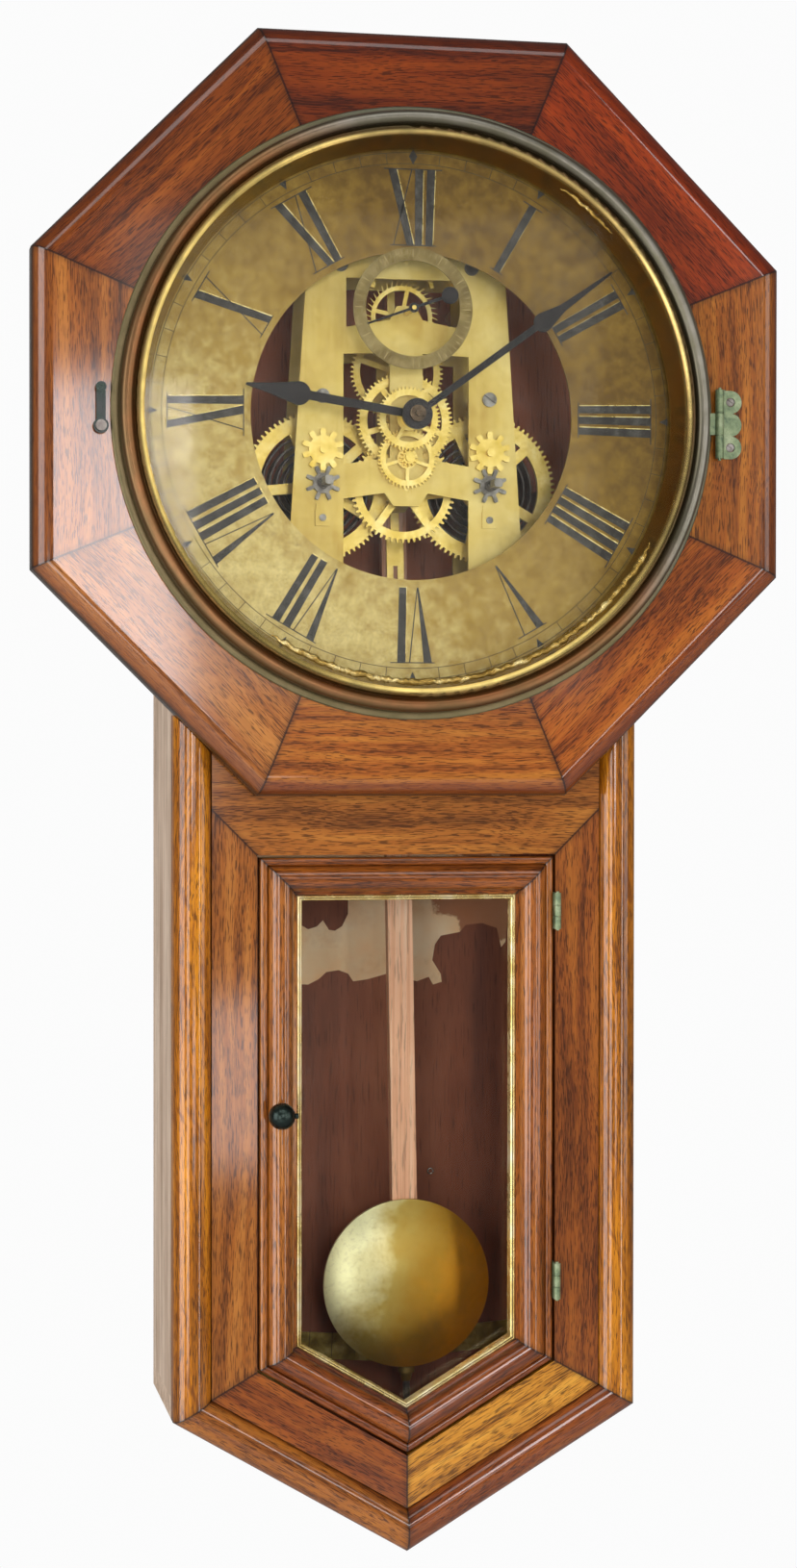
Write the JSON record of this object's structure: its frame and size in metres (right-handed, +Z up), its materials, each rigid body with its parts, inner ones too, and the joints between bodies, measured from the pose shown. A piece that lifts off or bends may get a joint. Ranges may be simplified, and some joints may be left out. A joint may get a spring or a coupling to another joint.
{
  "type": "pendulum wall clock",
  "caption": "Drop-octagon pendulum wall clock with hinged bezel and trunk door, open dial over a geared movement, and a swinging rod and bob.",
  "frame": {"origin": "centre of the wall hanger's hole, on the wall plane", "axes": "+X to the right and +Z up as seen from the room; +Y into the wall, so the dial faces -Y"},
  "size_m": [0.406, 0.1377, 0.816],
  "materials": {
    "oak_red": "varnished red-brown oak, satin",
    "oak_gold": "varnished golden oak, glossy",
    "oak_frame": "varnished oak, satin",
    "box_wood": "plain softwood, thin varnish",
    "back_wood": "dark red-brown stained board",
    "rod_wood": "pale reddish wood, satin",
    "label_paper": "aged torn paper, matte",
    "gilt": "gilt brass, bright",
    "dial_brass": "mottled aged brass, satin",
    "bezel_brass": "aged bezel brass, copper-brown patina",
    "clock_glass": "clear",
    "movement_brass": "clean satin brass",
    "bob_brass": "satin brass",
    "steel": "bright steel",
    "blued_steel": "dark blued steel, satin",
    "spring_steel": "oiled spring steel",
    "hinge_brass": "tarnished green brass",
    "knob_bronze": "green-black patinated bronze",
    "hanger_steel": "dull dark steel"
  },
  "bodies": {
    "case": {"backboard": "back_wood", "side_board_left": "box_wood", "side_board_right": "box_wood", "floor_board_left": "box_wood", "floor_board_right": "box_wood", "top_board": "box_wood", "octagon_board_top": "oak_red", "octagon_board_top_right": "oak_red", "octagon_board_right": "oak_red", "octagon_board_low_right": "oak_red", "octagon_board_bottom": "oak_red", "octagon_board_low_left": "oak_red", "octagon_board_left": "oak_red", "octagon_board_top_left": "oak_red", "trunk_moulding_left": "oak_gold", "trunk_moulding_right": "oak_gold", "toe_moulding_left": "oak_gold", "toe_moulding_right": "oak_gold", "flat_frame": "oak_frame", "wall_hanger": "hanger_steel", "paper_label": "label_paper", "beat_scale": "gilt", "dial_plate": "dial_brass", "seconds_ring": "dial_brass", "front_plate": "movement_brass", "back_plate": "movement_brass", "movement_posts": "movement_brass", "screws": "steel", "mainsprings": "spring_steel", "suspension_cock": "movement_brass", "fixed_hinge_leaves": "hinge_brass"},
    "bezel": {"bezel_ring": "bezel_brass", "bezel_glass": "clock_glass", "bezel_hinge_leaf": "hinge_brass"},
    "bezel_button": {"bezel_catch": "hinge_brass"},
    "door": {"door_frame": "oak_frame", "door_bead": "gilt", "door_glass": "clock_glass", "door_hinge_leaves": "hinge_brass"},
    "knob": {"door_knob": "knob_bronze"},
    "centre": {"centre_wheel": "movement_brass", "minute_hand": "blued_steel"},
    "hour": {"hour_wheel": "movement_brass", "hour_hand": "blued_steel"},
    "minute_work": {"minute_wheel": "movement_brass"},
    "second": {"second_wheel": "movement_brass"},
    "third": {"third_wheel": "movement_brass"},
    "escape": {"escape_wheel": "movement_brass", "seconds_hand": "blued_steel"},
    "great_left": {"great_wheel_left": "movement_brass"},
    "great_right": {"great_wheel_right": "movement_brass"},
    "winding_left": {"winding_arbor_left": "steel"},
    "winding_right": {"winding_arbor_right": "steel"},
    "star_left": {"stop_star_left": "movement_brass"},
    "star_right": {"stop_star_right": "movement_brass"},
    "verge": {"verge_and_crutch": "movement_brass"},
    "pendulum": {"pendulum_rod": "rod_wood", "pendulum_fittings": "steel"},
    "bob": {"pendulum_bob": "bob_brass"},
    "nut": {"rating_nut": "bob_brass"}
  },
  "joints": [
    {"name": "bezel_hinge", "type": "hinge", "parent": "case", "child": "bezel", "pos_m": [0.1665, -0.1259, -0.152], "axis": [0, 0, 1], "range_deg": [0, 110]},
    {"name": "bezel_catch_turn", "type": "hinge", "parent": "case", "child": "bezel_button", "pos_m": [-0.1676, -0.124, -0.16], "axis": [0, 1, 0], "range_deg": [-75, 0]},
    {"name": "door_hinge", "type": "hinge", "parent": "case", "child": "door", "pos_m": [0.0823, -0.104, -0.517], "axis": [0, 0, 1], "range_deg": [0, 115]},
    {"name": "door_knob_turn", "type": "hinge", "parent": "door", "child": "knob", "pos_m": [-0.071, -0.1, -0.523], "axis": [0, 1, 0], "range_deg": [-90, 0]},
    {"name": "centre_arbor", "type": "hinge", "parent": "case", "child": "centre", "pos_m": [0, -0.09, -0.15], "axis": [0, 1, 0], "continuous": true},
    {"name": "hour_pipe", "type": "hinge", "parent": "case", "child": "hour", "pos_m": [0, -0.1, -0.15], "axis": [0, 1, 0], "continuous": true},
    {"name": "minute_wheel_turn", "type": "hinge", "parent": "case", "child": "minute_work", "pos_m": [0, -0.098, -0.171], "axis": [0, 1, 0], "continuous": true},
    {"name": "second_arbor", "type": "hinge", "parent": "case", "child": "second", "pos_m": [0, -0.085, -0.187], "axis": [0, 1, 0], "continuous": true},
    {"name": "third_arbor", "type": "hinge", "parent": "case", "child": "third", "pos_m": [0, -0.07, -0.121], "axis": [0, 1, 0], "continuous": true},
    {"name": "escape_arbor", "type": "hinge", "parent": "case", "child": "escape", "pos_m": [0, -0.08, -0.0924], "axis": [0, 1, 0], "continuous": true},
    {"name": "great_wheel_turn_left", "type": "hinge", "parent": "case", "child": "great_left", "pos_m": [-0.04596, -0.075, -0.185], "axis": [0, 1, 0], "continuous": true},
    {"name": "great_wheel_turn_right", "type": "hinge", "parent": "case", "child": "great_right", "pos_m": [0.04596, -0.075, -0.185], "axis": [0, 1, 0], "continuous": true},
    {"name": "winding_turn_left", "type": "hinge", "parent": "case", "child": "winding_left", "pos_m": [-0.04596, -0.09, -0.185], "axis": [0, 1, 0], "range_deg": [0, 1440]},
    {"name": "winding_turn_right", "type": "hinge", "parent": "case", "child": "winding_right", "pos_m": [0.04596, -0.09, -0.185], "axis": [0, 1, 0], "range_deg": [0, 1440]},
    {"name": "stop_star_turn_left", "type": "hinge", "parent": "case", "child": "star_left", "pos_m": [-0.04596, -0.095, -0.167], "axis": [0, 1, 0], "range_deg": [-1152, 0]},
    {"name": "stop_star_turn_right", "type": "hinge", "parent": "case", "child": "star_right", "pos_m": [0.04596, -0.095, -0.167], "axis": [0, 1, 0], "range_deg": [-1152, 0]},
    {"name": "pendulum_swing", "type": "hinge", "parent": "case", "child": "pendulum", "pos_m": [0, -0.042, -0.065], "axis": [0, 1, 0], "range_deg": [-2.5, 4.5]},
    {"name": "verge_rock", "type": "hinge", "parent": "case", "child": "verge", "pos_m": [0, -0.06, -0.065], "axis": [0, 1, 0], "range_deg": [-2.5, 4.5]},
    {"name": "bob_slide", "type": "slide", "parent": "pendulum", "child": "bob", "axis": [-0.0175, 0, 0.9998], "range_m": [-0.003, 0.003]},
    {"name": "rating_nut_turn", "type": "hinge", "parent": "bob", "child": "nut", "pos_m": [0.01072, -0.042, -0.67891], "axis": [-0.0175, 0, 0.9998], "range_deg": [-1440, 1440]}
  ],
  "couplings": [
    {"joint": "hour_pipe", "follows": "centre_arbor", "ratio": 0.083333},
    {"joint": "minute_wheel_turn", "follows": "centre_arbor", "ratio": -0.33333},
    {"joint": "second_arbor", "follows": "centre_arbor", "ratio": -0.32143},
    {"joint": "third_arbor", "follows": "centre_arbor", "ratio": -8},
    {"joint": "escape_arbor", "follows": "centre_arbor", "ratio": 60},
    {"joint": "great_wheel_turn_left", "follows": "centre_arbor", "ratio": 0.048214},
    {"joint": "great_wheel_turn_right", "follows": "centre_arbor", "ratio": 0.048214},
    {"joint": "stop_star_turn_left", "follows": "winding_turn_left", "ratio": -0.8},
    {"joint": "stop_star_turn_right", "follows": "winding_turn_right", "ratio": -0.8},
    {"joint": "verge_rock", "follows": "pendulum_swing", "ratio": 1},
    {"joint": "rating_nut_turn", "follows": "bob_slide", "rad_per_m": 8377.6}
  ]
}
